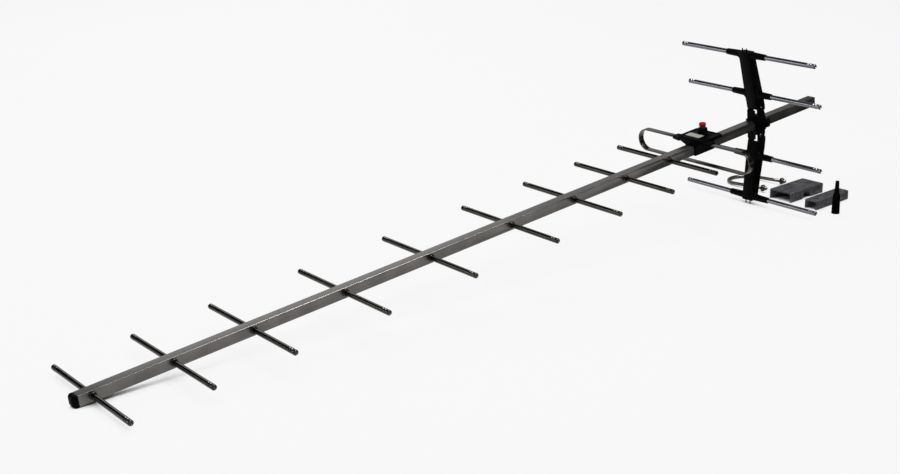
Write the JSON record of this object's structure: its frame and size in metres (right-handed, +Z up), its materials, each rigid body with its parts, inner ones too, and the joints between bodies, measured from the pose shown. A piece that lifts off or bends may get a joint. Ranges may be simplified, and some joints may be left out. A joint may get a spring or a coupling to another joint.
{
  "type": "yagi antenna",
  "caption": "UHF yagi antenna: square boom with rod directors, folded dipole with coax box, folding two-arm reflector, and its loose mast clamp parts.",
  "frame": {"origin": "centre of the tail cap's flat end face, on the boom's axis", "axes": "+X along the boom from tail to nose, +Y along the elements, +Z up through the upper reflector arm"},
  "size_m": [1.4395, 0.2867, 0.296],
  "materials": {
    "boom_aluminium": "satin",
    "element_aluminium": "satin",
    "dipole_aluminium": "satin",
    "black_moulding": "satin",
    "clamp_moulding": "satin",
    "zinc_steel": "zinc plated",
    "nickel_brass": "nickel plated",
    "red_cap": "gloss",
    "label_film": "satin",
    "circuit_board": "satin",
    "ferrite": "matt",
    "copper_wire": "enamelled",
    "white_insulator": "matt",
    "black_rubber": "matt"
  },
  "bodies": {
    "antenna": {"boom_tube": "boom_aluminium", "boom_tail_cap": "black_moulding", "boom_nose_cap": "black_moulding", "director_1": "element_aluminium", "director_2": "element_aluminium", "director_3": "element_aluminium", "director_4": "element_aluminium", "director_5": "element_aluminium", "director_6": "element_aluminium", "director_7": "element_aluminium", "director_8": "element_aluminium", "director_9": "element_aluminium", "director_ferrules": "element_aluminium", "folded_dipole": "dipole_aluminium", "dipole_box_base": "black_moulding", "balun_board": "circuit_board", "balun_core": "ferrite", "balun_winding": "copper_wire", "terminal_screws": "zinc_steel", "box_fixing_screws": "zinc_steel", "f_connector": "nickel_brass", "f_connector_insulator": "white_insulator", "reflector_saddle": "black_moulding", "saddle_screw": "zinc_steel", "fold_pins_upper": "zinc_steel", "fold_pins_lower": "zinc_steel"},
    "box_lid": {"dipole_box_lid": "black_moulding", "box_gasket": "black_rubber", "lid_label": "label_film"},
    "cap": {"connector_cap": "red_cap"},
    "upper_arm": {"reflector_arm_upper": "black_moulding", "reflector_rod_1": "element_aluminium", "reflector_rod_2": "element_aluminium"},
    "lower_arm": {"reflector_arm_lower": "black_moulding", "reflector_rod_3": "element_aluminium", "reflector_rod_4": "element_aluminium"},
    "mast_block": {"mast_clamp_block": "clamp_moulding"},
    "boom_block": {"boom_clamp_block": "clamp_moulding"},
    "mast_bolt": {"u_bolt": "zinc_steel"},
    "bolt_nut_1": {"u_bolt_nut_1": "zinc_steel"},
    "bolt_nut_2": {"u_bolt_nut_2": "zinc_steel"},
    "boot": {"coax_boot": "black_rubber"}
  },
  "joints": [
    {"name": "lid_lift", "type": "slide", "parent": "antenna", "child": "box_lid", "axis": [0, 0, 1], "range_m": [0, 0.05]},
    {"name": "cap_pull", "type": "slide", "parent": "antenna", "child": "cap", "axis": [0, 0, 1], "range_m": [0, 0.03]},
    {"name": "upper_arm_fold", "type": "hinge", "parent": "antenna", "child": "upper_arm", "pos_m": [0.1523, 0, 0.0195], "axis": [0, 1, 0], "range_deg": [0, 70]},
    {"name": "lower_arm_fold", "type": "hinge", "parent": "antenna", "child": "lower_arm", "pos_m": [0.1523, 0, -0.0195], "axis": [0, -1, 0], "range_deg": [0, 70]},
    {"name": "mast_block_lift", "type": "slide", "parent": "antenna", "child": "mast_block", "axis": [-0.1045, 0, 0.9945], "range_m": [0, 0.1]},
    {"name": "boom_block_lift", "type": "slide", "parent": "antenna", "child": "boom_block", "axis": [-0.1045, 0, 0.9945], "range_m": [0, 0.1]},
    {"name": "mast_bolt_lift", "type": "slide", "parent": "antenna", "child": "mast_bolt", "axis": [-0.1045, 0, 0.9945], "range_m": [0, 0.1]},
    {"name": "boot_lift", "type": "slide", "parent": "antenna", "child": "boot", "axis": [-0.1045, 0, 0.9945], "range_m": [0, 0.1]},
    {"name": "nut_1_turn", "type": "hinge", "parent": "mast_bolt", "child": "bolt_nut_1", "pos_m": [0.04567, -0.03116, -0.14645], "axis": [-0.0988, 0.9943, 0.0405], "continuous": true},
    {"name": "nut_2_turn", "type": "hinge", "parent": "mast_bolt", "child": "bolt_nut_2", "pos_m": [0.10507, -0.02551, -0.14021], "axis": [-0.0988, 0.9943, 0.0405], "continuous": true}
  ]
}
